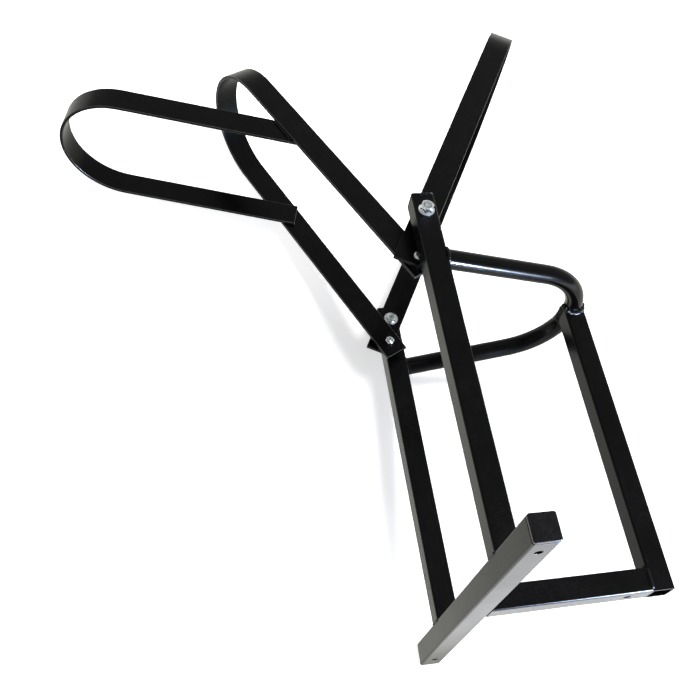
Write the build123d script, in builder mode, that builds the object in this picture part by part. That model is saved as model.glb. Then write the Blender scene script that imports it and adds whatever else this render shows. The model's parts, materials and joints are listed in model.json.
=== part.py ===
from build123d import *
from math import atan2, cos, radians, sin, tan
import os

# Folding wall rack for a bicycle: a welded tube frame that carries nested flat-bar loops on two pivots.
# Millimetres. X runs along the crossbar, Z runs up the uprights from the fixing plane at Z = 0,
# and +Y points along the stem to the rear upright.

# square tube, shared by the crossbar, the stem and the three uprights
tube = 25.0
tube_wall = 1.5
tube_corner = 2.5
half_tube = tube / 2

# welded base
crossbar_length = 423.0
stem_end_y = 184.5
rear_upright_y = stem_end_y + half_tube
rear_upright_top = 346.0
upright_x = 113.0
upright_top = 430.0
screw_hole_radius = 4.0
crossbar_screw_x = 190.5
stem_screw_y = 160.5

# black plastic plugs in the open tube ends
crossbar_plug_flange = 5.0
upright_plug_flange = 4.0
plug_insert = 12.0
plug_clearance = 0.2
plug_wall = 2.0
plug_edge = 1.2

# round hoop that ties the three uprights together
hoop_radius = 11.0
hoop_wall = 1.5
hoop_z = 347.0
hoop_leg_x = 115.0
hoop_taper = radians(15.8)
hoop_back_y = rear_upright_y
hoop_flat = 3.0
cope_clearance = 0.05

# pivots near the tops of the side uprights
pivot_z = 405.5
pivot_shank = 4.0
pivot_flange_radius = 8.9
pivot_flange_height = 1.3
pivot_head_radius = 7.0
pivot_head_height = 3.9
pivot_socket = 2.5
pivot_socket_depth = 2.4
pivot_bolt_end_x = 136.5
pivot_hole = 4.2
nut_flange_radius = 8.95
nut_flange_height = 1.6
nut_half_flats = 6.5
nut_height = 8.0
nut_bore = 4.1
spacer_radius = 8.5
running_clearance = 0.08
side_play = 0.4

# flat bar used for all three loops
bar_width = 30.0
bar_thickness = 4.0
bar_end_radius = 1.5

# front cradle loop, hung on the pivots between the uprights
cradle_half_width = 95.5
cradle_lean = radians(61.5)
cradle_tip = 423.5
cradle_tail = 51.5

# arm loop, hung inside the cradle on the fold bolts
fold_y = -10.5
fold_z = 366.0
arm_half_width = 87.0
arm_half_width_tip = 75.0
arm_lean = radians(117.3)
arm_tip = 389.0
arm_tail = 16.9
fold_shank = 3.0
fold_head_radius = 5.25
fold_head_height = 3.3
fold_socket = 2.0
fold_socket_depth = 1.8
fold_bolt_end_x = 74.9
fold_hole = 3.1
fold_nut_face_x = 82.4
fold_spacer_radius = 6.0
fold_spacer_end_x = 87.6
fold_nut_half_flats = 5.0
fold_nut_height = 6.0
fold_nut_collar = 4.6

# hook loop, welded inside the arm part of the way along it
hook_joint = 224.5
hook_half_width = 75.0
hook_lean = radians(164.5)
hook_tip = 289.0
hook_tail = 8.0

# weld beads
bead = 4.0
ring_bead = 1.4
groove_radius = 2.2
groove_inset = 0.8

crossbar_end_x = crossbar_length / 2
upright_inner_x = upright_x - half_tube
upright_outer_x = upright_x + half_tube
cradle_inner_x = cradle_half_width - bar_thickness
inner_side = tube - 2 * tube_wall
os.makedirs("parts", exist_ok=True)


def tube_section():
    RectangleRounded(tube, tube, tube_corner)
    RectangleRounded(inner_side, inner_side, tube_corner - tube_wall, mode=Mode.SUBTRACT)


def loop_plane(y, z, lean):
    # sketch plane of a loop: local X across the rack, local Y from the pivot to the loop's tip
    return Plane(origin=(0, y, z), x_dir=(1, 0, 0), z_dir=(0, -sin(lean), cos(lean)))


def loop_bar(plane, half_width, half_width_tip, tip, tail):
    # flat bar bent into a U, its legs closing in slightly towards the tip when the two widths differ
    taper = atan2(half_width - half_width_tip, tip)
    bend = (half_width * cos(taper) - tip * sin(taper)) / (1 - sin(taper))
    centre = tip - bend
    along = Vector(sin(taper), -cos(taper))
    run = (centre + bend * sin(taper) + tail) / cos(taper)
    outer_start = Vector(bend * cos(taper), centre + bend * sin(taper))
    inner_bend = bend - bar_thickness
    inner_start = Vector(inner_bend * cos(taper), centre + inner_bend * sin(taper))
    outer_end = outer_start + along * run
    inner_end = inner_start + along * run
    with BuildSketch(plane) as outline:
        with BuildLine():
            Line((outer_end.X, outer_end.Y), (outer_start.X, outer_start.Y))
            ThreePointArc((outer_start.X, outer_start.Y), (0, tip), (-outer_start.X, outer_start.Y))
            Line((-outer_start.X, outer_start.Y), (-outer_end.X, outer_end.Y))
            Line((-outer_end.X, outer_end.Y), (-inner_end.X, inner_end.Y))
            Line((-inner_end.X, inner_end.Y), (-inner_start.X, inner_start.Y))
            ThreePointArc((-inner_start.X, inner_start.Y), (0, tip - bar_thickness), (inner_start.X, inner_start.Y))
            Line((inner_start.X, inner_start.Y), (inner_end.X, inner_end.Y))
            Line((inner_end.X, inner_end.Y), (outer_end.X, outer_end.Y))
        make_face()
    extrude(outline.sketch, amount=bar_width / 2, both=True)


def cross_hole(y, z, radius):
    # round hole along X through both sides of the rack
    with BuildSketch(Plane.YZ) as hole:
        with Locations((y, z)):
            Circle(radius)
    extrude(hole.sketch, amount=crossbar_length, both=True, mode=Mode.SUBTRACT)


def side_disc(x, y, z, radius, length):
    # round stub standing on a plane square to X
    with BuildSketch(Plane.YZ.offset(x)) as disc:
        with Locations((y, z)):
            Circle(radius)
    extrude(disc.sketch, amount=length)


def side_hex(x, y, z, half_flats, length, mode=Mode.ADD):
    with BuildSketch(Plane.YZ.offset(x)) as hexagon:
        with Locations((y, z)):
            RegularPolygon(half_flats, 6, major_radius=False)
    extrude(hexagon.sketch, amount=length, mode=mode)


# --- welded base ---

with BuildPart() as crossbar:
    with BuildSketch(Plane.YZ.offset(-crossbar_end_x)):
        with Locations((0, half_tube)):
            tube_section()
    extrude(amount=crossbar_length)
    with BuildSketch(Plane.XY):
        with Locations((-crossbar_screw_x, 0), (crossbar_screw_x, 0)):
            Circle(screw_hole_radius)
    extrude(amount=tube, mode=Mode.SUBTRACT)
crossbar.part.label = "crossbar"
export_step(crossbar.part, "parts/crossbar.step")

with BuildPart() as stem_tube:
    with BuildSketch(Plane(origin=(0, half_tube, half_tube), x_dir=(1, 0, 0), z_dir=(0, 1, 0))):
        tube_section()
    extrude(amount=stem_end_y - half_tube)
    with BuildSketch(Plane.XY):
        with Locations((0, stem_screw_y)):
            Circle(screw_hole_radius)
    extrude(amount=tube, mode=Mode.SUBTRACT)
stem_tube.part.label = "stem_tube"
export_step(stem_tube.part, "parts/stem_tube.step")

# --- hoop ---

hoop_corner_x = hoop_leg_x - (hoop_back_y - half_tube) * tan(hoop_taper)
hoop_bend = (hoop_corner_x - hoop_flat / 2) / tan((radians(90) - hoop_taper) / 2)
hoop_start_x = hoop_leg_x + half_tube * tan(hoop_taper)


def hoop_sweep(outer, inner):
    with BuildLine(Plane.XY.offset(hoop_z)) as path:
        FilletPolyline(
            (hoop_start_x, 0),
            (hoop_corner_x, hoop_back_y),
            (-hoop_corner_x, hoop_back_y),
            (-hoop_start_x, 0),
            radius=hoop_bend,
        )
    with BuildSketch(Plane(origin=path.line @ 0, z_dir=path.line % 0)) as ring:
        Circle(outer)
        if inner:
            Circle(inner, mode=Mode.SUBTRACT)
    sweep(ring.sketch, path=path.line)
    # the legs end square against the back faces of the side uprights
    with Locations((0, half_tube - tube, hoop_z)):
        Box(crossbar_length, 2 * tube, 2 * tube, mode=Mode.SUBTRACT)


with BuildPart() as hoop_tube:
    hoop_sweep(hoop_radius, hoop_radius - hoop_wall)
hoop_tube.part.label = "hoop_tube"
export_step(hoop_tube.part, "parts/hoop_tube.step")

# solid bar of the hoop's shape, used to cope the rear upright
with BuildPart() as hoop_cutter:
    hoop_sweep(hoop_radius + cope_clearance, 0)

with BuildPart() as rear_upright:
    with BuildSketch(Plane.XY):
        with Locations((0, rear_upright_y)):
            tube_section()
    extrude(amount=rear_upright_top)
    add(hoop_cutter.part, mode=Mode.SUBTRACT)
rear_upright.part.label = "rear_upright"
export_step(rear_upright.part, "parts/rear_upright.step")


def side_upright(x):
    with BuildSketch(Plane.XY.offset(tube)) as section:
        with Locations((x, 0)):
            tube_section()
    extrude(section.sketch, amount=upright_top - upright_plug_flange - tube)
    cross_hole(0, pivot_z, pivot_hole)


with BuildPart() as upright_left:
    side_upright(-upright_x)
upright_left.part.label = "upright_left"
export_step(upright_left.part, "parts/upright_left.step")

with BuildPart() as upright_right:
    side_upright(upright_x)
upright_right.part.label = "upright_right"
export_step(upright_right.part, "parts/upright_right.step")

# --- end plugs ---

left_mouth = Plane(origin=(-crossbar_end_x, 0, half_tube), x_dir=(0, 1, 0), z_dir=(-1, 0, 0))
right_mouth = Plane(origin=(crossbar_end_x, 0, half_tube), x_dir=(0, 1, 0), z_dir=(1, 0, 0))
upright_mouth_z = upright_top - upright_plug_flange
insert_side = inner_side - 2 * plug_clearance
end_plugs = [
    ("crossbar_plug_left", left_mouth, crossbar_plug_flange),
    ("crossbar_plug_right", right_mouth, crossbar_plug_flange),
    ("upright_plug_left", Plane(origin=(-upright_x, 0, upright_mouth_z)), upright_plug_flange),
    ("upright_plug_right", Plane(origin=(upright_x, 0, upright_mouth_z)), upright_plug_flange),
]
for plug_name, mouth, flange_height in end_plugs:
    with BuildPart() as end_plug:
        # flange outside the tube's mouth, hollow insert running back into the tube
        with BuildSketch(mouth):
            RectangleRounded(tube, tube, tube_corner)
        extrude(amount=flange_height)
        outer_face = end_plug.faces().sort_by(Axis(mouth.origin, mouth.z_dir))[-1]
        fillet(outer_face.edges(), plug_edge)
        with BuildSketch(mouth):
            RectangleRounded(insert_side, insert_side, tube_corner - tube_wall)
            Rectangle(insert_side - 2 * plug_wall, insert_side - 2 * plug_wall, mode=Mode.SUBTRACT)
        extrude(amount=-plug_insert)
    end_plug.part.label = plug_name
    export_step(end_plug.part, "parts/" + plug_name + ".step")

# --- weld beads on the frame ---


def bead_prism(corner_plane, leg_a, leg_b, length):
    # triangular fillet bead with its square corner on the joint line
    with BuildSketch(corner_plane) as fillet_section:
        with BuildLine():
            Polyline((0, 0), (leg_a, 0), (0, leg_b), (0, 0))
        make_face()
    extrude(fillet_section.sketch, amount=length / 2, both=True)


def groove_bead(corner_plane, length):
    # bead that fills the groove between a butting tube (local y < 0) and the rounded corner of another,
    # where their faces are flush: local x points out of that face
    with BuildSketch(corner_plane) as groove_section:
        with Locations((-groove_inset, groove_inset)):
            Circle(groove_radius)
        with Locations((-half_tube, -half_tube)):
            Rectangle(tube, tube, mode=Mode.SUBTRACT)
        with Locations((-half_tube, half_tube)):
            RectangleRounded(tube, tube, tube_corner, mode=Mode.SUBTRACT)
    extrude(groove_section.sketch, amount=length / 2, both=True)


flat_run = tube - 2 * tube_corner
with BuildPart() as upright_welds:
    for foot_x in (-upright_x, upright_x):
        for side in (-1, 1):
            foot = Plane(origin=(foot_x + side * half_tube, 0, tube), x_dir=(side, 0, 0), z_dir=(0, -side, 0))
            bead_prism(foot, bead, bead, flat_run)
            heel = Plane(origin=(foot_x, side * half_tube, tube), x_dir=(0, side, 0), z_dir=(-side, 0, 0))
            groove_bead(heel, flat_run)
upright_welds.part.label = "upright_welds"
export_step(upright_welds.part, "parts/upright_welds.step")

with BuildPart() as stem_welds:
    for side in (-1, 1):
        root = Plane(origin=(side * half_tube, half_tube, half_tube), x_dir=(side, 0, 0), z_dir=(0, 0, side))
        bead_prism(root, bead, bead, flat_run)
    groove_bead(Plane(origin=(0, half_tube, tube), x_dir=(0, 0, 1), z_dir=(1, 0, 0)), flat_run)
stem_welds.part.label = "stem_welds"
export_step(stem_welds.part, "parts/stem_welds.step")

with BuildPart() as rear_welds:
    top_seam = Plane(origin=(0, stem_end_y, tube), x_dir=(0, -1, 0), z_dir=(-1, 0, 0))
    bead_prism(top_seam, bead, bead, flat_run)
    for side in (-1, 1):
        seam = Plane(origin=(side * half_tube, stem_end_y, half_tube), x_dir=(side, 0, 0), z_dir=(0, 0, side))
        groove_bead(seam, flat_run)
rear_welds.part.label = "rear_welds"
export_step(rear_welds.part, "parts/rear_welds.step")

with BuildPart() as hoop_welds:
    for side in (-1, 1):
        leg_axis = Vector(-side * sin(hoop_taper), cos(hoop_taper), 0)
        collar_plane = Plane(origin=(side * hoop_start_x, 0, hoop_z), z_dir=leg_axis)
        with BuildSketch(collar_plane):
            Circle(hoop_radius + ring_bead)
            Circle(hoop_radius, mode=Mode.SUBTRACT)
        extrude(amount=half_tube + bead)
    with Locations((0, half_tube - tube, hoop_z)):
        Box(crossbar_length, 2 * tube, 2 * tube, mode=Mode.SUBTRACT)
hoop_welds.part.label = "hoop_welds"
export_step(hoop_welds.part, "parts/hoop_welds.step")

# --- pivot hardware ---

with BuildPart() as pivot_bolts:
    head_face_x = cradle_inner_x - side_play
    side_disc(head_face_x, 0, pivot_z, pivot_head_radius, -pivot_head_height)
    fillet(pivot_bolts.faces().sort_by(Axis.X)[0].edges(), 2.2)
    side_disc(head_face_x, 0, pivot_z, pivot_flange_radius, -pivot_flange_height)
    side_disc(head_face_x, 0, pivot_z, pivot_shank, pivot_bolt_end_x - head_face_x)
    chamfer(pivot_bolts.faces().sort_by(Axis.X)[-1].edges(), 0.8)
    socket_x = head_face_x - pivot_head_height
    side_hex(socket_x, 0, pivot_z, pivot_socket, pivot_socket_depth, mode=Mode.SUBTRACT)
    mirror(about=Plane.YZ)
pivot_bolts.part.label = "pivot_bolts"
export_step(pivot_bolts.part, "parts/pivot_bolts.step")

with BuildPart() as pivot_nuts:
    side_disc(upright_outer_x, 0, pivot_z, nut_flange_radius, nut_flange_height)
    chamfer(pivot_nuts.faces().sort_by(Axis.X)[-1].edges(), 0.9)
    side_hex(upright_outer_x, 0, pivot_z, nut_half_flats, nut_height)
    cross_hole(0, pivot_z, nut_bore)
    mirror(about=Plane.YZ)
pivot_nuts.part.label = "pivot_nuts"
export_step(pivot_nuts.part, "parts/pivot_nuts.step")

with BuildPart() as pivot_spacers:
    spacer_x = cradle_half_width + side_play
    side_disc(spacer_x, 0, pivot_z, spacer_radius, upright_inner_x - spacer_x)
    cross_hole(0, pivot_z, pivot_hole)
    mirror(about=Plane.YZ)
pivot_spacers.part.label = "pivot_spacers"
export_step(pivot_spacers.part, "parts/pivot_spacers.step")

# --- cradle loop and fold bolts ---

with BuildPart() as cradle_loop:
    cradle_loop_plane = loop_plane(0, pivot_z, cradle_lean)
    loop_bar(cradle_loop_plane, cradle_half_width, cradle_half_width, cradle_tip, cradle_tail)
    ends = cradle_loop.edges().filter_by(Axis.X).sort_by(Axis.Z)[0:4]
    fillet(ends, bar_end_radius)
    cross_hole(0, pivot_z, pivot_shank + running_clearance)
    cross_hole(fold_y, fold_z, fold_hole)
cradle_loop.part.label = "cradle_loop"
export_step(cradle_loop.part, "parts/cradle_loop.step")

with BuildPart() as fold_bolts:
    side_disc(cradle_half_width, fold_y, fold_z, fold_head_radius, fold_head_height)
    fillet(fold_bolts.faces().sort_by(Axis.X)[-1].edges(), 1.8)
    side_disc(fold_bolt_end_x, fold_y, fold_z, fold_shank, cradle_half_width - fold_bolt_end_x)
    chamfer(fold_bolts.faces().sort_by(Axis.X)[0].edges(), 0.6)
    fold_socket_x = cradle_half_width + fold_head_height
    side_hex(fold_socket_x, fold_y, fold_z, fold_socket, -fold_socket_depth, mode=Mode.SUBTRACT)
    mirror(about=Plane.YZ)
fold_bolts.part.label = "fold_bolts"
export_step(fold_bolts.part, "parts/fold_bolts.step")

with BuildPart() as fold_spacers:
    side_disc(fold_spacer_end_x, fold_y, fold_z, fold_spacer_radius, cradle_inner_x - fold_spacer_end_x)
    cross_hole(fold_y, fold_z, fold_hole)
    mirror(about=Plane.YZ)
fold_spacers.part.label = "fold_spacers"
export_step(fold_spacers.part, "parts/fold_spacers.step")

with BuildPart() as fold_nuts:
    hex_height = fold_nut_height - 1.5
    side_hex(fold_nut_face_x, fold_y, fold_z, fold_nut_half_flats, -hex_height)
    side_disc(fold_nut_face_x, fold_y, fold_z, fold_nut_collar, -fold_nut_height)
    chamfer(fold_nuts.faces().sort_by(Axis.X)[0].edges(), 0.5)
    cross_hole(fold_y, fold_z, fold_hole)
    mirror(about=Plane.YZ)
fold_nuts.part.label = "fold_nuts"
export_step(fold_nuts.part, "parts/fold_nuts.step")

# --- arm loop with its hook loop ---

with BuildPart() as arm_loop:
    arm_loop_plane = loop_plane(fold_y, fold_z, arm_lean)
    loop_bar(arm_loop_plane, arm_half_width, arm_half_width_tip, arm_tip, arm_tail)
    cross_hole(fold_y, fold_z, fold_shank + running_clearance)
arm_loop.part.label = "arm_loop"
export_step(arm_loop.part, "parts/arm_loop.step")

hook_y = fold_y + hook_joint * cos(arm_lean)
hook_z = fold_z + hook_joint * sin(arm_lean)
with BuildPart() as hook_loop:
    hook_loop_plane = loop_plane(hook_y, hook_z, hook_lean)
    loop_bar(hook_loop_plane, hook_half_width, hook_half_width, hook_tip, hook_tail)
hook_loop.part.label = "hook_loop"
export_step(hook_loop.part, "parts/hook_loop.step")

# beads run along the arm's lower edge where the hook crosses it
hook_turn = hook_lean - arm_lean
crossing_s = hook_joint + bar_width / 2 / tan(hook_turn)
crossing_length = bar_width / sin(hook_turn)
edge_y = fold_y + crossing_s * cos(arm_lean) - bar_width / 2 * sin(arm_lean)
edge_z = fold_z + crossing_s * sin(arm_lean) + bar_width / 2 * cos(arm_lean)
with BuildPart() as hook_welds:
    for side in (-1, 1):
        seam = Plane(
            origin=(side * hook_half_width, edge_y, edge_z),
            x_dir=(side, 0, 0),
            z_dir=(0, -side * cos(arm_lean), -side * sin(arm_lean)),
        )
        bead_prism(seam, bead + 1.2, bead, crossing_length - 2 * bead)
hook_welds.part.label = "hook_welds"
export_step(hook_welds.part, "parts/hook_welds.step")
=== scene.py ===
import bpy
import bmesh
import json
from math import cos, pi, radians, sin, sqrt, tan
from mathutils import Matrix, Vector, noise


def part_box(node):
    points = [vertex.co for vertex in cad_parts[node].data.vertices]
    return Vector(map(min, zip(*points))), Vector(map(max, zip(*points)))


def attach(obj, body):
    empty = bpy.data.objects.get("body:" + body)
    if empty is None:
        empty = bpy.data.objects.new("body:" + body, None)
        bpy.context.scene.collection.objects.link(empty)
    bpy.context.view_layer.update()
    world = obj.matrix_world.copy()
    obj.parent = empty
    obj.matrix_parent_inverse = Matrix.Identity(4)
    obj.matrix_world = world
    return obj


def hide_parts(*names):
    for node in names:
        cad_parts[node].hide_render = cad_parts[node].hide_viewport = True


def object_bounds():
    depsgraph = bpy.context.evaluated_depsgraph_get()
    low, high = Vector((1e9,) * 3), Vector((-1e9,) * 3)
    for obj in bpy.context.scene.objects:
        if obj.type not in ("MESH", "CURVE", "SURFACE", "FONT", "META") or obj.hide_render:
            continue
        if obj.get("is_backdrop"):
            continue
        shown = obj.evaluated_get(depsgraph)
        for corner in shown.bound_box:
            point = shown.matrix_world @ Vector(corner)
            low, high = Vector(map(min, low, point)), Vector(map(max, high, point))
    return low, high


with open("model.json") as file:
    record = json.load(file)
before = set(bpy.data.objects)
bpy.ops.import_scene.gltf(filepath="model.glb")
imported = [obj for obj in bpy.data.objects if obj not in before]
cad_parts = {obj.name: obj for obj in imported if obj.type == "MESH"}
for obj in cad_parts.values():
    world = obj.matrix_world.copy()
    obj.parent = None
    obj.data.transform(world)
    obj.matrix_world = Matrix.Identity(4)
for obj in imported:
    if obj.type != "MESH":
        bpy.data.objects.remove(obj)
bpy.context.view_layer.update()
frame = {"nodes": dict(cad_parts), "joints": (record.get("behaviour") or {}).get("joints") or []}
mm = 0.001
joints = {j["name"]: j for j in frame["joints"]}
pivot = Vector(joints["cradle_pivot"]["pos_m"])
fold = Vector(joints["arm_fold"]["pos_m"])
print("frame loaded:", len(frame["nodes"]), "nodes")


# small node helpers
def newFinish(name):
    finish = bpy.data.materials.new(name)
    finish.use_nodes = True
    tree = finish.node_tree
    return finish, tree, tree.nodes["Principled BSDF"]


def addNode(tree, kind, settings=None, links=None, **values):
    # settings are the node's own options, values go on its sockets, links feed its sockets
    node = tree.nodes.new(kind)
    for key, value in (settings or {}).items():
        setattr(node, key, value)
    for key, value in values.items():
        node.inputs[key.replace("_", " ")].default_value = value
    for key, source in (links or {}).items():
        tree.links.new(source, node.inputs[key])
    return node


def noiseAt(tree, place, scale, detail=2.0, rough=0.5):
    return addNode(tree, "ShaderNodeTexNoise", links={"Vector": place},
                   Scale=scale, Detail=detail, Roughness=rough).outputs["Fac"]


def spread(tree, source, fromLow, fromHigh, toLow, toHigh):
    node = addNode(tree, "ShaderNodeMapRange", links={0: source})
    node.inputs[1].default_value = fromLow
    node.inputs[2].default_value = fromHigh
    node.inputs[3].default_value = toLow
    node.inputs[4].default_value = toHigh
    return node.outputs[0]


def mixColour(tree, share, first, second):
    node = addNode(tree, "ShaderNodeMix", settings={"data_type": "RGBA"})
    tree.links.new(share, node.inputs["Factor"])
    for socket, value in ((node.inputs[6], first), (node.inputs[7], second)):
        if isinstance(value, tuple):
            socket.default_value = (*value, 1)
        else:
            tree.links.new(value, socket)
    return node.outputs[2]


def math(tree, operation, first, second):
    node = addNode(tree, "ShaderNodeMath", settings={"operation": operation})
    for socket, value in ((node.inputs[0], first), (node.inputs[1], second)):
        if isinstance(value, (int, float)):
            socket.default_value = value
        else:
            tree.links.new(value, socket)
    return node.outputs[0]


# finishes
# satin black powder coat: flat faces, a lighter copy on the rounded edges of tubes and bars that paints a highlight
# along them, and the glossier skin over the welds
powderLook = dict(deep=(0.001, 0.001, 0.0012), pale=(0.003, 0.0029, 0.003), dust=(0.05, 0.049, 0.045), dustShare=0.25,
                  peelScale=620, grainScale=2300, peelDepth=0.00003, grainDepth=0.000006,
                  roughLow=0.21, roughHigh=0.29, ior=1.17)
# the edge coat is painted lighter than the faces, a painted highlight along the rounded edges
edgeHighlightLook = dict(powderLook, deep=(0.01, 0.01, 0.0105), pale=(0.04, 0.039, 0.037), roughLow=0.24, roughHigh=0.36, ior=1.36)
hoopLook = dict(powderLook, roughLow=0.16, roughHigh=0.21, ior=1.19)
weldLook = dict(powderLook, peelScale=520, peelDepth=0.0004, roughLow=0.2, roughHigh=0.3, ior=1.25)


def powderCoat(name, look):
    finish, tree, shader = newFinish(name)
    place = addNode(tree, "ShaderNodeTexCoord").outputs["Object"]
    clouds = noiseAt(tree, place, 14, 4.0, 0.6)
    blotches = noiseAt(tree, place, 95, 3.0, 0.6)
    peel = noiseAt(tree, place, look["peelScale"], 2.0, 0.55)
    grain = noiseAt(tree, place, look["grainScale"], 2.0, 0.6)
    shade = math(tree, "MULTIPLY", spread(tree, clouds, 0.35, 0.65, 0.2, 1), spread(tree, blotches, 0.35, 0.65, 0.3, 1))
    colour = mixColour(tree, shade, look["deep"], look["pale"])
    # dust motes, thicker in some places
    motes = addNode(tree, "ShaderNodeTexVoronoi", links={"Vector": place}, Scale=260, Randomness=1).outputs["Distance"]
    speck = math(tree, "MULTIPLY", spread(tree, motes, 0.05, 0.085, 1, 0),
                 spread(tree, clouds, 0.46, 0.6, 0, look["dustShare"]))
    colour = mixColour(tree, speck, colour, look["dust"])
    tree.links.new(colour, shader.inputs["Base Color"])
    rough = math(tree, "ADD", spread(tree, clouds, 0.3, 0.7, look["roughLow"], look["roughHigh"]),
                 spread(tree, grain, 0.3, 0.7, -0.03, 0.03))
    tree.links.new(rough, shader.inputs["Roughness"])
    shader.inputs["IOR"].default_value = look["ior"]
    bumpLow = addNode(tree, "ShaderNodeBump", links={"Height": peel}, Strength=1.0, Distance=look["peelDepth"])
    bumpHigh = addNode(tree, "ShaderNodeBump", links={"Height": grain, "Normal": bumpLow.outputs[0]},
                       Strength=1.0, Distance=look["grainDepth"])
    tree.links.new(bumpHigh.outputs[0], shader.inputs["Normal"])
    return finish


# moulded black plastic for the end plugs
plasticLook = dict(deep=(0.002, 0.002, 0.0022), pale=(0.005, 0.005, 0.0052), grainScale=1500, grainDepth=0.00003,
                   swirlDepth=0.0001, roughLow=0.2, roughHigh=0.32, ior=1.23)


def mouldedPlastic():
    look = plasticLook
    finish, tree, shader = newFinish("mouldedPlasticBlack")
    place = addNode(tree, "ShaderNodeTexCoord").outputs["Object"]
    swirl = noiseAt(tree, place, 120, 3.0, 0.6)
    grain = noiseAt(tree, place, look["grainScale"], 3.0, 0.6)
    colour = mixColour(tree, spread(tree, swirl, 0.3, 0.7, 0, 1), look["deep"], look["pale"])
    tree.links.new(colour, shader.inputs["Base Color"])
    tree.links.new(spread(tree, swirl, 0.3, 0.7, look["roughLow"], look["roughHigh"]), shader.inputs["Roughness"])
    shader.inputs["IOR"].default_value = look["ior"]
    bumpLow = addNode(tree, "ShaderNodeBump", links={"Height": swirl}, Strength=1.0, Distance=look["swirlDepth"])
    bumpHigh = addNode(tree, "ShaderNodeBump", links={"Height": grain, "Normal": bumpLow.outputs[0]},
                       Strength=1.0, Distance=look["grainDepth"])
    tree.links.new(bumpHigh.outputs[0], shader.inputs["Normal"])
    return finish


# bright zinc plating on the bolts and nuts
# the third colour is painted shade for the inner corners and thread roots
zincLook = dict(clean=(0.78, 0.8, 0.83), tinted=(0.62, 0.65, 0.66), hollowShade=(0.16, 0.16, 0.15),
                roughLow=0.09, roughHigh=0.18, brushDepth=0.000002)


dullLook = dict(zincLook, clean=(0.6, 0.63, 0.62), tinted=(0.42, 0.45, 0.43),
                roughLow=0.16, roughHigh=0.28, brushDepth=0.000004)


def zincPlate(name, look):
    finish, tree, shader = newFinish(name)
    place = addNode(tree, "ShaderNodeTexCoord").outputs["Object"]
    clouds = noiseAt(tree, place, 260, 3.0, 0.6)
    fine = noiseAt(tree, place, 3200, 2.0, 0.6)
    colour = mixColour(tree, spread(tree, clouds, 0.35, 0.65, 0, 1), look["clean"], look["tinted"])
    # painted shade: the zinc is darkened in the inner corners and thread roots, where shade falls
    hollow = addNode(tree, "ShaderNodeNewGeometry").outputs["Pointiness"]
    colour = mixColour(tree, spread(tree, hollow, 0.4, 0.48, 0.75, 0), colour, look["hollowShade"])
    tree.links.new(colour, shader.inputs["Base Color"])
    shader.inputs["Metallic"].default_value = 1.0
    tree.links.new(spread(tree, clouds, 0.3, 0.7, look["roughLow"], look["roughHigh"]), shader.inputs["Roughness"])
    bump = addNode(tree, "ShaderNodeBump", links={"Height": fine}, Strength=1.0, Distance=look["brushDepth"])
    tree.links.new(bump.outputs[0], shader.inputs["Normal"])
    return finish


powder = powderCoat("powderCoatBlack", powderLook)
powderEdgeHighlight = powderCoat("powderCoatEdgeHighlight", edgeHighlightLook)
powderHoop = powderCoat("powderCoatHoop", hoopLook)
powderWeld = powderCoat("powderCoatWeld", weldLook)
plastic = mouldedPlastic()
zinc = zincPlate("zincPlateBright", zincLook)
dullZinc = zincPlate("zincPlateDull", dullLook)
print("finishes ready")


# tubes and flat bars stay as the frame gives them, with softened edges
def smoothAllGroup():
    group = bpy.data.node_groups.new("smoothAllFaces", "GeometryNodeTree")
    group.interface.new_socket("Geometry", in_out="INPUT", socket_type="NodeSocketGeometry")
    group.interface.new_socket("Geometry", in_out="OUTPUT", socket_type="NodeSocketGeometry")
    start = group.nodes.new("NodeGroupInput")
    smooth = group.nodes.new("GeometryNodeSetShadeSmooth")
    end = group.nodes.new("NodeGroupOutput")
    group.links.new(start.outputs[0], smooth.inputs["Geometry"])
    group.links.new(smooth.outputs[0], end.inputs[0])
    return group


smoothAll = smoothAllGroup()
edgeRounds = dict(crossbar=0.35, stem_tube=0.35, rear_upright=0.3, upright_left=0.35, upright_right=0.35,
                  hoop_tube=0.2, cradle_loop=0.7, arm_loop=0.7, hook_loop=0.7, pivot_spacers=0.4, fold_spacers=0.4)


def softenNode(nodeName, edgeRound, finishes):
    node = frame["nodes"][nodeName]
    weld = node.modifiers.new("joinSeams", "WELD")
    weld.merge_threshold = 0.002 * mm
    flats = node.modifiers.new("mergeFlats", "DECIMATE")
    flats.decimate_type = "DISSOLVE"
    flats.angle_limit = radians(0.6)
    rounding = node.modifiers.new("roundEdges", "BEVEL")
    rounding.width = edgeRound * mm
    rounding.segments = 3
    rounding.limit_method = "ANGLE"
    rounding.angle_limit = radians(40)
    # the rounded edge faces take the last finish: on tubes and bars that is the lighter coat with the painted edge
    # highlight
    rounding.material = len(finishes) - 1
    shade = node.modifiers.new("smoothFaces", "NODES")
    shade.node_group = smoothAll
    even = node.modifiers.new("evenShading", "WEIGHTED_NORMAL")
    even.weight = 100
    node.data.materials.clear()
    for finish in finishes:
        node.data.materials.append(finish)


for nodeName, edgeRound in edgeRounds.items():
    if "spacers" in nodeName:
        softenNode(nodeName, edgeRound, [dullZinc])
    else:
        coat = powderHoop if nodeName == "hoop_tube" else powder
        softenNode(nodeName, edgeRound, [coat, powderEdgeHighlight])
print("tubes and bars softened")


# mesh helpers
def finishPiece(name, bm, body, finish, nodes=(), sharpAngle=32):
    bmesh.ops.recalc_face_normals(bm, faces=bm.faces)
    mesh = bpy.data.meshes.new(name)
    bm.to_mesh(mesh)
    bm.free()
    for face in mesh.polygons:
        face.use_smooth = True
    mesh.set_sharp_from_angle(angle=radians(sharpAngle))
    mesh.materials.append(finish)
    piece = bpy.data.objects.new(name, mesh)
    bpy.context.scene.collection.objects.link(piece)
    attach(piece, body)
    if nodes:
        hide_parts(*nodes)
    return piece


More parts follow.
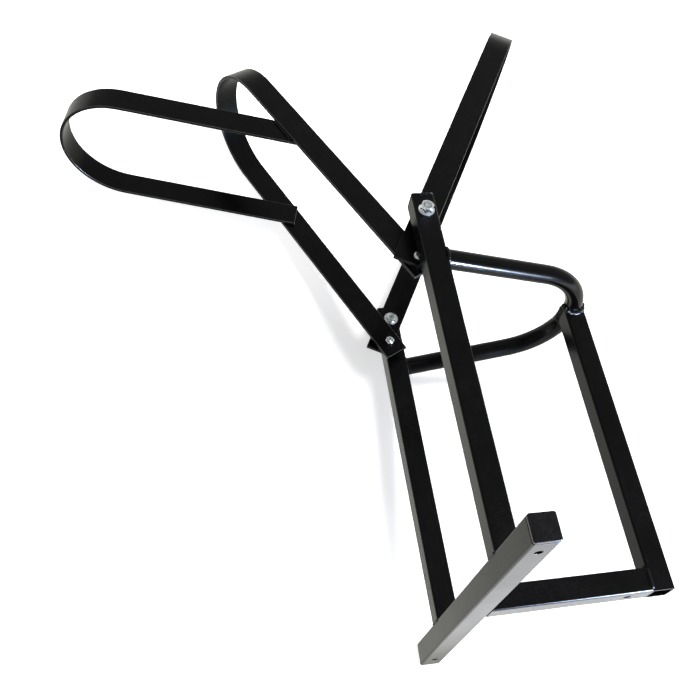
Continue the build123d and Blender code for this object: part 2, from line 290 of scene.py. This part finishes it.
def bridgeRings(bm, rings, closed=False, capEnds=True):
    loops = [[bm.verts.new(point) for point in ring] for ring in rings]
    count = len(loops[0])
    pairs = list(zip(loops, loops[1:]))
    if closed:
        pairs.append((loops[-1], loops[0]))
    for low, high in pairs:
        for i in range(count):
            k = (i + 1) % count
            bm.faces.new((low[i], low[k], high[k], high[i]))
    if capEnds and not closed:
        bm.faces.new(list(reversed(loops[0])))
        bm.faces.new(loops[-1])


def roundRing(height, radius, hexHalf=None, sides=72, twist=0.0):
    # circle of that radius, or a hexagon whose corners the circle trims
    ring = []
    for i in range(sides):
        angle = 2 * pi * i / sides
        reach = radius
        if hexHalf:
            within = (angle + twist) % (pi / 3) - pi / 6
            reach = min(radius, hexHalf / cos(within))
        ring.append((reach * cos(angle), reach * sin(angle), height))
    return ring


def placed(rings, place):
    return [[place @ Vector(point) for point in ring] for ring in rings]


def sideways(x, y, z, direction):
    # local Z points along frame X: outwards on the right for direction 1, on the left for direction -1
    turn = Matrix(((0, 0, direction), (direction, 0, 0), (0, 1, 0))).to_4x4()
    return Matrix.Translation((x, y, z)) @ turn


# end plugs
plugShape = dict(half=12.45, corner=2.5, shoulder=1.4, gap=1.1, gapLong=1.5, crown=0.2, edge=0.9, slope=0.05,
                 insertHalf=10.8, insertCorner=1.0, insertLength=12, insertWall=2.0, ribs=3)


def squareRing(half, corner, height, steps=8):
    ring = []
    for quarter in range(4):
        base = quarter * pi / 2
        for i in range(steps + 1):
            angle = base + pi / 2 * i / steps
            cx = (half - corner) * (1 if quarter in (0, 3) else -1)
            cy = (half - corner) * (1 if quarter in (0, 1) else -1)
            ring.append((cx + corner * cos(angle), cy + corner * sin(angle), height))
    return ring


def endPlug(name, place, flangeHeight):
    s = plugShape
    half = s["half"]
    gap = s["gapLong"] if flangeHeight > 4.5 else s["gap"]
    rings = []
    # hollow insert first, from its inner floor to its mouth and back up its outside
    innerHalf = s["insertHalf"] - s["insertWall"]
    rings.append(squareRing(innerHalf, 0.6, -0.4))
    rings.append(squareRing(innerHalf, 0.6, -s["insertLength"] + 0.3))
    rings.append(squareRing(innerHalf + 0.3, 0.7, -s["insertLength"]))
    rings.append(squareRing(s["insertHalf"] - 0.5, 0.8, -s["insertLength"]))
    rings.append(squareRing(s["insertHalf"] - 0.15, s["insertCorner"], -s["insertLength"] + 0.8))
    for i in range(s["ribs"]):
        z = -s["insertLength"] + 2.2 + 3.0 * i
        rings.append(squareRing(s["insertHalf"] - 0.15, s["insertCorner"], z))
        rings.append(squareRing(s["insertHalf"], s["insertCorner"], z + 0.5))
        rings.append(squareRing(s["insertHalf"] - 0.15, s["insertCorner"], z + 1.4))
    rings.append(squareRing(s["insertHalf"] - 0.1, s["insertCorner"], gap))
    rings.append(squareRing(half - s["shoulder"], s["corner"] - 0.5, gap))
    # crisp back rim, flat side, then a small round up to the face
    rings.append(squareRing(half - 0.25, s["corner"], gap + 0.02))
    rings.append(squareRing(half - 0.05, s["corner"], gap + 0.12))
    rings.append(squareRing(half, s["corner"], gap + 0.3))
    top = flangeHeight - s["crown"]
    slopeEnd = s["slope"]
    rings.append(squareRing(half - slopeEnd, s["corner"], top - s["edge"] - 0.05))
    for i in range(7):
        turn = pi / 2 * i / 6
        inset = slopeEnd + s["edge"] * (1 - cos(turn))
        rings.append(squareRing(half - inset, s["corner"] - 0.3, top - s["edge"] * (1 - sin(turn))))
    edge = slopeEnd + s["edge"]
    # the face swells gently towards its middle
    for i in range(1, 9):
        share = i / 9
        rings.append(squareRing((half - edge) * (1 - share), max(2.0 * (1 - share), 0.02),
                                top + s["crown"] * (1 - (1 - share) ** 2)))
    rings = [[(x * mm, y * mm, z * mm) for x, y, z in ring] for ring in rings]
    bm = bmesh.new()
    bridgeRings(bm, placed(rings, place))
    return finishPiece(name.replace("_", "") + "Cap", bm, "frame", plastic, (name,), 28)


barLow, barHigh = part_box("crossbar")
for plugName, side in (("crossbar_plug_left", -1), ("crossbar_plug_right", 1)):
    low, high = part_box(plugName)
    mouth = barHigh.x if side > 0 else barLow.x
    reach = (high.x - mouth) if side > 0 else (mouth - low.x)
    endPlug(plugName, sideways(mouth, 0, (barLow.z + barHigh.z) / 2, side), reach / mm)
for uprightName in ("upright_left", "upright_right"):
    low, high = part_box(uprightName)
    plugName = uprightName.replace("upright", "upright_plug")
    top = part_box(plugName)[1].z
    endPlug(plugName, Matrix.Translation(((low.x + high.x) / 2, 0, high.z)), (top - high.z) / mm)
print("end plugs done")


# bolts and nuts
def threadRings(start, end, radius, depth, pitch, sides=48):
    # real helix: each ring's radius swings with its angle
    rings = []
    step = pitch / 8
    height = start
    while height < end:
        fade = min(1, (end - height) / pitch)
        ring = []
        for i in range(sides):
            angle = 2 * pi * i / sides
            phase = (height / pitch - i / sides) % 1
            dip = depth * (1 - abs(2 * phase - 1))
            reach = radius - dip - 0.25 * (1 - fade)
            ring.append((reach * cos(angle), reach * sin(angle), height))
        rings.append(ring)
        height += step
    return rings


def addTurned(bm, rings, place):
    bridgeRings(bm, placed([[(x * mm, y * mm, z * mm) for x, y, z in ring] for ring in rings], place))


# M8 flange nuts on the outside of the side uprights
flangeNut = dict(flangeRadius=8.95, flangeRim=0.7, flangeTop=2.2, hexHalf=6.5, height=8.7, bore=4.15,
                 faceRadius=5.9, ringInner=4.7)


def nutRings(n):
    corner = n["hexHalf"] / cos(pi / 6)
    rings = [roundRing(0.02, n["bore"]), roundRing(0.02, n["flangeRadius"] - 0.5),
             roundRing(0.2, n["flangeRadius"] - 0.12), roundRing(0.45, n["flangeRadius"]),
             roundRing(n["flangeRim"], n["flangeRadius"] - 0.05), roundRing(n["flangeRim"] + 0.25, n["flangeRadius"] - 0.45)]
    # the flange slopes up and runs into the flats
    for i in range(1, 5):
        share = i / 4
        limit = (n["flangeRadius"] - 0.45) * (1 - share) + corner * share
        rings.append(roundRing(n["flangeRim"] + 0.25 + (n["flangeTop"] - n["flangeRim"]) * share ** 1.3, limit,
                               None if share < 0.75 else n["hexHalf"] + (1 - share) * 3))
    rings.append(roundRing(n["flangeTop"] + 0.6, corner - 0.05, n["hexHalf"]))
    rings.append(roundRing(n["height"] - 1.5, corner - 0.05, n["hexHalf"]))
    rings.append(roundRing(n["height"] - 1.0, corner - 0.3, n["hexHalf"]))
    rings.append(roundRing(n["height"] - 0.55, n["hexHalf"] + 0.15, n["hexHalf"]))
    rings.append(roundRing(n["height"] - 0.3, n["hexHalf"] - 0.15))
    rings.append(roundRing(n["height"] - 0.06, n["faceRadius"] + 0.15))
    rings.append(roundRing(n["height"], n["faceRadius"] - 0.1))
    rings.append(roundRing(n["height"], n["ringInner"] + 0.1))
    rings.append(roundRing(n["height"] - 0.12, n["ringInner"] - 0.05))
    rings.append(roundRing(n["height"] - 0.7, n["bore"]))
    return rings


upLow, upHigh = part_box("upright_right")
nutFace = upHigh.x
bm = bmesh.new()
for side in (-1, 1):
    rings = placed([[(x * mm, y * mm, z * mm) for x, y, z in r] for r in nutRings(flangeNut)],
                   sideways(side * nutFace, pivot.y, pivot.z, side))
    bridgeRings(bm, rings, closed=True)
pivotNuts = finishPiece("pivotFlangeNuts", bm, "frame", zinc, ("pivot_nuts",), 28)

# M8 flanged button heads inside the cradle, shanks out through the uprights
pivotBolt = dict(flangeRadius=8.9, flangeHeight=1.3, domeRadius=7.0, height=3.9, socketHalf=2.5, socketDepth=2.4,
                 shank=4.0, threadPitch=1.25, threadDepth=0.5, barThickness=4.0, play=0.4, proud=0.6)
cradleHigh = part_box("cradle_loop")[1]
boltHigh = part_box("pivot_bolts")[1]


def socketRings(half, top, depth, sides=72):
    # key socket from its conical floor up to the head's face
    return [roundRing(top - depth - 0.5, 0.15, sides=sides), roundRing(top - depth, half * 0.96, half, sides),
            roundRing(top - 0.25, half * 2, half, sides), roundRing(top, half / cos(pi / 6) + 0.2, sides=sides)]


def domeRings(base, radius, height, flat, sides=72, steps=8):
    rings = []
    for i in range(steps + 1):
        turn = pi / 2 * i / steps
        reach = flat + (radius - flat) * cos(turn)
        rings.append(roundRing(base + height * sin(turn), reach, sides=sides))
    return rings


def pivotBoltRings(b, shankLength):
    # local Z runs from the head's bearing face out through the upright: the head is below zero
    top = b["height"]
    rings = socketRings(b["socketHalf"], top, b["socketDepth"])
    dome = domeRings(b["flangeHeight"] + 0.2, b["domeRadius"], top - b["flangeHeight"] - 0.2, 3.4)
    rings += list(reversed(dome))
    rings += [roundRing(b["flangeHeight"], b["flangeRadius"] - 0.6), roundRing(b["flangeHeight"] - 0.15, b["flangeRadius"] - 0.2),
              roundRing(b["flangeHeight"] - 0.5, b["flangeRadius"]), roundRing(0.3, b["flangeRadius"]),
              roundRing(0.0, b["flangeRadius"] - 0.25), roundRing(0.0, b["shank"])]
    # head rings stand on the negative side, with the shank following on the positive side
    rings = [[(x, y, -z) for x, y, z in ring] for ring in rings]
    threadStart = shankLength - 16
    rings.append(roundRing(threadStart, b["shank"]))
    thread = threadRings(threadStart + 0.4, shankLength - 0.3, b["shank"], b["threadDepth"], b["threadPitch"], 72)
    rings += thread
    rings.append(roundRing(shankLength - 0.05, b["shank"] - 0.95))
    rings.append(roundRing(shankLength, b["shank"] - 1.3))
    rings.append(roundRing(shankLength, 0.3))
    return rings


bm = bmesh.new()
bearing = cradleHigh.x - (pivotBolt["barThickness"] + pivotBolt["play"]) * mm
boltEnd = min(boltHigh.x, nutFace + (flangeNut["height"] + pivotBolt["proud"]) * mm)
for side in (-1, 1):
    addTurned(bm, pivotBoltRings(pivotBolt, (boltEnd - bearing) / mm), sideways(side * bearing, pivot.y, pivot.z, side))
pivotBolts = finishPiece("pivotBoltPair", bm, "frame", dullZinc, ("pivot_bolts",), 30)

# M6 button heads outside the cradle and their lock nuts inside the arm
foldBolt = dict(headRadius=5.25, headHeight=3.3, socketHalf=2.0, socketDepth=1.8, shank=3.0,
                threadPitch=1.0, threadDepth=0.4, length=20.6)


def foldBoltRings(b, shankLength):
    rings = socketRings(b["socketHalf"], b["headHeight"], b["socketDepth"])
    rings += list(reversed(domeRings(0.5, b["headRadius"], b["headHeight"] - 0.5, 2.7)))
    rings += [roundRing(0.15, b["headRadius"]), roundRing(0.0, b["headRadius"] - 0.2), roundRing(0.0, b["shank"])]
    shank = [roundRing(-shankLength + 11, b["shank"])]
    thread = threadRings(-shankLength + 0.3, -shankLength + 10.6, b["shank"], b["threadDepth"], b["threadPitch"], 72)
    shank += list(reversed(thread))
    shank += [roundRing(-shankLength + 0.05, b["shank"] - 0.7), roundRing(-shankLength, b["shank"] - 0.9),
              roundRing(-shankLength, 0.3)]
    return rings + shank


bm = bmesh.new()
for side in (-1, 1):
    addTurned(bm, foldBoltRings(foldBolt, foldBolt["length"]), sideways(side * cradleHigh.x, fold.y, fold.z, side))
foldBolts = finishPiece("foldBoltPair", bm, "cradle", dullZinc, ("fold_bolts",), 30)

lockNut = dict(hexHalf=5.0, hexHeight=4.5, height=6.0, collar=4.6, bore=3.12, ringInner=3.3)
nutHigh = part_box("fold_nuts")[1]


def lockNutRings(n):
    corner = n["hexHalf"] / cos(pi / 6)
    return [roundRing(0.02, n["bore"] + 0.3), roundRing(0.02, n["hexHalf"] - 0.15),
            roundRing(0.25, corner - 0.4, n["hexHalf"]), roundRing(0.55, corner - 0.05, n["hexHalf"]),
            roundRing(n["hexHeight"] - 0.7, corner - 0.05, n["hexHalf"]),
            roundRing(n["hexHeight"] - 0.3, corner - 0.35, n["hexHalf"]),
            roundRing(n["hexHeight"], n["hexHalf"] - 0.05, n["hexHalf"]), roundRing(n["hexHeight"] + 0.1, n["collar"]),
            roundRing(n["height"] - 0.5, n["collar"] - 0.05), roundRing(n["height"] - 0.1, n["collar"] - 0.35),
            roundRing(n["height"], n["collar"] - 0.7), roundRing(n["height"] - 0.15, n["ringInner"] + 0.15),
            roundRing(n["height"] - 0.6, n["ringInner"]), roundRing(n["height"] - 1.2, n["bore"])]


bm = bmesh.new()
for side in (-1, 1):
    rings = placed([[(x * mm, y * mm, z * mm) for x, y, z in r] for r in lockNutRings(lockNut)],
                   sideways(side * nutHigh.x, fold.y, fold.z, -side))
    bridgeRings(bm, rings, closed=True)
foldNuts = finishPiece("foldLockNuts", bm, "cradle", zinc, ("fold_nuts",), 28)
print("bolts and nuts done")


# weld beads
beadShape = dict(pitch=1.7, ripple=0.16, wander=0.12, endLength=2.2, sides=16)


def resample(points, closed, step=0.28):
    # even points along a line, in millimetres
    line = [Vector(p) for p in points]
    if closed:
        line.append(line[0].copy())
    lengths = [0.0]
    for a, b in zip(line, line[1:]):
        lengths.append(lengths[-1] + (b - a).length)
    total = lengths[-1]
    count = max(8, int(total / step))
    out = []
    k = 0
    last = count if closed else count + 1
    for i in range(last):
        want = total * i / count
        while k < len(lengths) - 2 and lengths[k + 1] < want:
            k += 1
        share = (want - lengths[k]) / max(lengths[k + 1] - lengths[k], 1e-9)
        out.append(line[k].lerp(line[k + 1], share))
    return out, total


def addBead(bm, points, radius, closed=False, seed=0.0, flatten=1.0, up=None, lumps=1.0, pitch=None):
    # rope of weld metal: overlapping crescents, uneven width, tapered ends
    s = beadShape
    pitch = pitch or s["pitch"]
    line, total = resample(points, closed)
    count = len(line)
    rings = []
    for i, centre in enumerate(line):
        before = line[(i - 1) % count] if (closed or i) else line[0]
        after = line[(i + 1) % count] if (closed or i < count - 1) else line[-1]
        along = (after - before).normalized()
        reference = Vector(up) if up else (Vector((1, 0, 0)) if abs(along.x) < 0.8 else Vector((0, 1, 0)))
        side = along.cross(reference).normalized()
        top = side.cross(along).normalized()
        travelled = total * i / count
        end = 1.0
        if not closed:
            near = min(travelled, total - travelled)
            end = sqrt(max(0.0, 1 - (1 - min(1, near / s["endLength"])) ** 2)) * 0.98 + 0.02
        drift = 1 + lumps * s["wander"] * noise.noise(Vector((travelled * 0.35, seed, 0)))
        ring = []
        for j in range(s["sides"]):
            angle = 2 * pi * j / s["sides"]
            crest = abs(sin(pi * (travelled / pitch + 0.22 * cos(angle) + 0.22 * sin(angle))))
            reach = radius * end * drift * (1 - s["ripple"] + s["ripple"] * crest)
            ring.append(centre + (side * cos(angle) + top * sin(angle) * flatten) * reach)
        rings.append([p * mm for p in ring])
    bridgeRings(bm, rings, closed=closed)


tubeHalf = 12.5
beadRun = 10.0
footX = (upLow.x + upHigh.x) / 2 / mm
seamZ = upLow.z / mm

bm = bmesh.new()
for footSide in (-1, 1):
    for side in (-1, 1):
        x = footSide * footX + side * tubeHalf
        addBead(bm, [(x, -beadRun, seamZ), (x, beadRun, seamZ)], 3.0, seed=x)
        y = side * (tubeHalf - 0.8)
        addBead(bm, [(footSide * footX - beadRun, y, seamZ - 0.8), (footSide * footX + beadRun, y, seamZ - 0.8)], 1.9,
                seed=y + footSide)
finishPiece("uprightFootWelds", bm, "frame", powderWeld, ("upright_welds",), 70)

bm = bmesh.new()
for side in (-1, 1):
    x = side * tubeHalf
    addBead(bm, [(x, tubeHalf, 2.5), (x, tubeHalf, 22.5)], 2.9, seed=x + 5)
addBead(bm, [(-beadRun, tubeHalf - 0.8, seamZ - 0.8), (beadRun, tubeHalf - 0.8, seamZ - 0.8)], 1.9, seed=3.3)
finishPiece("stemRootWelds", bm, "frame", powderWeld, ("stem_welds",), 70)

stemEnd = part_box("stem_tube")[1].y / mm
bm = bmesh.new()
addBead(bm, [(-beadRun, stemEnd, seamZ), (beadRun, stemEnd, seamZ)], 2.9, seed=8.1)
for side in (-1, 1):
    x = side * (tubeHalf - 0.2)
    addBead(bm, [(x, stemEnd + 0.4, 2.2), (x, stemEnd + 0.4, 23.2)], 2.3, seed=x + 11, lumps=2.5)
finishPiece("rearUprightWelds", bm, "frame", powderWeld, ("rear_welds",), 70)

# collars where the hoop's legs meet the side uprights
hoopShape = dict(radius=11.0, height=347.0, legX=115.0, taper=radians(15.8), backY=197.0, bend=81.05)
bm = bmesh.new()
for side in (-1, 1):
    ring = []
    for i in range(60):
        angle = 2 * pi * i / 60
        wide = (hoopShape["radius"] + 0.1) / cos(hoopShape["taper"])
        tall = hoopShape["radius"] + 0.1
        ring.append((side * hoopShape["legX"] + wide * cos(angle), tubeHalf + 0.2, hoopShape["height"] + tall * sin(angle)))
    addBead(bm, ring, 2.0, closed=True, seed=side * 4.0, up=(0, 1, 0), lumps=0.6)
finishPiece("hoopCollarWelds", bm, "frame", powderWeld, ("hoop_welds",), 70)

# saddle bead round the coped top of the rear upright
rearLow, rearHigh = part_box("rear_upright")
rearY = (rearLow.y + rearHigh.y) / 2 / mm


def saddleLine():
    h = hoopShape
    centreY = h["backY"] - h["bend"]
    line = []
    for side in (1, -1):
        x = side * (tubeHalf + 0.1)
        reach = sqrt(h["bend"] ** 2 - (tubeHalf - 1.5) ** 2)
        y0 = centreY + reach
        for i in range(13):
            angle = pi * (1 + i / 12) if side > 0 else pi * (2 - i / 12)
            y = y0 + (h["radius"] + 0.3) * cos(angle)
            z = h["height"] - 0.4 + (h["radius"] + 0.5) * sin(angle)
            line.append((x, y, z))
    return line


bm = bmesh.new()
addBead(bm, saddleLine(), 3.3, closed=True, seed=2.2, up=(0, 0, 1), lumps=3.6, pitch=2.2)
finishPiece("hoopSaddleWeld", bm, "frame", powderWeld, (), 70)

# beads where the hook loop crosses the arm's lower edge
hookSeam = dict(arm=radians(117.3), hook=radians(164.5), joint=224.5, barHalf=15.0, halfWidth=75.0)


def hookSeamEnds():
    h = hookSeam
    turn = h["hook"] - h["arm"]
    middle = h["joint"] + h["barHalf"] / tan(turn)
    half = h["barHalf"] / sin(turn) - 3.5
    ends = []
    for along in (middle - half, middle + half):
        y = fold.y / mm + along * cos(h["arm"]) - h["barHalf"] * sin(h["arm"])
        z = fold.z / mm + along * sin(h["arm"]) + h["barHalf"] * cos(h["arm"])
        ends.append((y, z))
    return ends


bm = bmesh.new()
for side in (-1, 1):
    x = side * (hookSeam["halfWidth"] + 0.3)
    addBead(bm, [(x, y, z) for y, z in hookSeamEnds()], 2.9, seed=side * 7.0)
finishPiece("hookSeamWelds", bm, "arm", powderWeld, ("hook_welds",), 70)
print("weld beads done")


# floor, lights and camera
floorPlan = dict(x=-0.2147, slopeZ=0.1874, slopeY=-0.0698, size=9.0, colour=(0.82, 0.82, 0.815),
                 glowMiddle=0.5, glowEnds=0.88, glowFrom=0.42, glowTo=0.62, footFrom=0.2, footTo=-0.05,
                 bounceHigh=1.28, bounceLow=3.3, bounceTop=0.0, bounceFoot=-0.05,
                 tintHigh=(1.0, 1.0, 0.93), tintLow=(0.97, 0.98, 1.0))


def layFloor():
    f = floorPlan
    normal = Vector((1, -f["slopeY"], -f["slopeZ"])).normalized()
    across = normal.orthogonal().normalized()
    other = normal.cross(across)
    middle = Vector((f["x"] + f["slopeZ"] * 0.2, 0, 0.2))
    bm = bmesh.new()
    corners = [middle + (across * a + other * b) * f["size"] / 2 for a, b in ((-1, -1), (1, -1), (1, 1), (-1, 1))]
    bm.faces.new([bm.verts.new(c) for c in corners])
    bm.normal_update()
    if bm.faces[:][0].normal.dot(normal) < 0:
        bmesh.ops.reverse_faces(bm, faces=bm.faces)
    mesh = bpy.data.meshes.new("studioFloor")
    bm.to_mesh(mesh)
    bm.free()
    floor = bpy.data.objects.new("studioFloor", mesh)
    bpy.context.scene.collection.objects.link(floor)
    finish, tree, shader = newFinish("paleFloor")
    shader.inputs["Base Color"].default_value = (*f["colour"], 1)
    shader.inputs["Roughness"].default_value = 0.9
    shader.inputs["Specular IOR Level"].default_value = 0.1
    shader.inputs["Emission Color"].default_value = (1, 1, 1, 1)
    height = addNode(tree, "ShaderNodeSeparateXYZ",
                     links={"Vector": addNode(tree, "ShaderNodeTexCoord").outputs["Object"]}).outputs["Z"]
    # painted light: the floor's own glow is dimmer across the middle band and brighter towards the top and the foot
    glow = math(tree, "MAXIMUM", spread(tree, height, f["glowFrom"], f["glowTo"], f["glowMiddle"], f["glowEnds"]),
                spread(tree, height, f["footTo"], f["footFrom"], f["glowEnds"], f["glowMiddle"]))
    tree.links.new(glow, shader.inputs["Emission Strength"])
    # what the rack picks up from the floor is strongest past the rack's foot: for every ray but the camera's the floor
    # glows brighter there, a painted light for the rack's reflections
    rise = addNode(tree, "ShaderNodeMapRange", settings={"interpolation_type": "SMOOTHSTEP"}, links={0: height})
    for socket, value in zip(rise.inputs[1:5], (f["bounceFoot"], f["bounceTop"], 0, 1)):
        socket.default_value = value
    bounce = spread(tree, rise.outputs[0], 0, 1, f["bounceLow"], f["bounceHigh"])
    tint = mixColour(tree, rise.outputs[0], f["tintLow"], f["tintHigh"])
    lit = addNode(tree, "ShaderNodeEmission", links={"Strength": bounce, "Color": tint})
    direct = addNode(tree, "ShaderNodeMixShader", links={0: addNode(tree, "ShaderNodeLightPath").outputs["Is Camera Ray"]})
    tree.links.new(lit.outputs[0], direct.inputs[1])
    tree.links.new(shader.outputs[0], direct.inputs[2])
    # seen from its back the floor lets everything through
    back = addNode(tree, "ShaderNodeNewGeometry").outputs["Backfacing"]
    clear = tree.nodes.new("ShaderNodeBsdfTransparent")
    choose = tree.nodes.new("ShaderNodeMixShader")
    tree.links.new(back, choose.inputs[0])
    tree.links.new(direct.outputs[0], choose.inputs[1])
    tree.links.new(clear.outputs[0], choose.inputs[2])
    tree.links.new(choose.outputs[0], tree.nodes["Material Output"].inputs["Surface"])
    mesh.materials.append(finish)
    floor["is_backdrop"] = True


layFloor()

# sheen lamps only show in the gloss, the shade lamp only throws the soft shadow
lamps = [
    dict(name="footLamp", towards=(0.2, 0.515, -0.835), distance=1.6, size=0.26, power=650, colour=(0.6, 0.74, 1.0), sheen=True),
    dict(name="ceilingLamp", towards=(0.954, -0.29, 0.046), distance=2.0, size=0.5, power=0.9, colour=(1.0, 1.0, 1.0), sheen=True),
    dict(name="shadeLamp", towards=(0.93, 0.34, 0.08), distance=2.2, size=0.9, power=56, colour=(1.0, 1.0, 1.0), sheen=False),
]
lampTarget = Vector((0, 0.05, 0.2))


def hangLamp(lamp):
    light = bpy.data.lights.new(lamp["name"], "AREA")
    light.shape = "DISK"
    light.size = lamp["size"]
    light.energy = lamp["power"]
    light.color = lamp["colour"]
    holder = bpy.data.objects.new(lamp["name"], light)
    direction = Vector(lamp["towards"]).normalized()
    holder.location = lampTarget + direction * lamp["distance"]
    holder.rotation_mode = "QUATERNION"
    holder.rotation_quaternion = direction.to_track_quat("Z", "Y")
    holder.visible_camera = False
    holder.visible_diffuse = not lamp["sheen"]
    holder.visible_glossy = lamp["sheen"]
    bpy.context.scene.collection.objects.link(holder)


for lamp in lamps:
    hangLamp(lamp)

skyLook = dict(seen=(1.0, 1.0, 1.0), ambient=(0.95, 0.97, 1.0), strength=0.45, dark=(1.5, 1.52, 1.58),
               darkTowards=(0.65, 0.4, 0.65), darkFrom=0.3, darkFull=0.75)


def paintWorld():
    world = bpy.data.worlds.new("studioAir")
    world.use_nodes = True
    tree = world.node_tree
    air = tree.nodes["Background"]
    # the studio's dark side is behind the viewer's shoulder
    direction = addNode(tree, "ShaderNodeTexCoord").outputs["Generated"]
    facing = addNode(tree, "ShaderNodeVectorMath", settings={"operation": "DOT_PRODUCT"}, links={0: direction})
    facing.inputs[1].default_value = Vector(skyLook["darkTowards"]).normalized()
    share = addNode(tree, "ShaderNodeMapRange", settings={"interpolation_type": "SMOOTHSTEP"},
                    links={0: facing.outputs["Value"]})
    for socket, value in zip(share.inputs[1:5], (skyLook["darkFrom"], skyLook["darkFull"], 0, 1)):
        socket.default_value = value
    tree.links.new(mixColour(tree, share.outputs[0], skyLook["ambient"], skyLook["dark"]), air.inputs["Color"])
    air.inputs["Strength"].default_value = skyLook["strength"]
    seen = addNode(tree, "ShaderNodeBackground", Color=(*skyLook["seen"], 1), Strength=1.0)
    choose = tree.nodes.new("ShaderNodeMixShader")
    tree.links.new(addNode(tree, "ShaderNodeLightPath").outputs["Is Camera Ray"], choose.inputs[0])
    tree.links.new(air.outputs[0], choose.inputs[1])
    tree.links.new(seen.outputs[0], choose.inputs[2])
    tree.links.new(choose.outputs[0], tree.nodes["World Output"].inputs["Surface"])
    bpy.context.scene.world = world


paintWorld()

cameraPlan = dict(location=(0.8543, -0.2761, -0.1933), right=(0.1601, 0.9743, -0.1585), up=(0.5123, 0.0552, 0.857),
                  lens=46.1, shiftX=-0.0332, shiftY=0.0046)


def setCamera():
    c = cameraPlan
    data = bpy.data.cameras.new("rackLens")
    data.lens = c["lens"]
    data.sensor_width = 36
    data.shift_x = c["shiftX"]
    data.shift_y = c["shiftY"]
    data.clip_start = 0.01
    data.clip_end = 50
    camera = bpy.data.objects.new("rackCamera", data)
    right = Vector(c["right"]).normalized()
    back = right.cross(Vector(c["up"])).normalized()
    up = back.cross(right)
    camera.matrix_world = Matrix.Translation(c["location"]) @ Matrix((right, up, back)).transposed().to_4x4()
    bpy.context.scene.collection.objects.link(camera)
    bpy.context.scene.camera = camera


setCamera()
bpy.context.scene.view_settings.view_transform = "Standard"
bpy.context.scene.view_settings.look = "None"
print("floor, lights and camera set")

low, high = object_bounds()
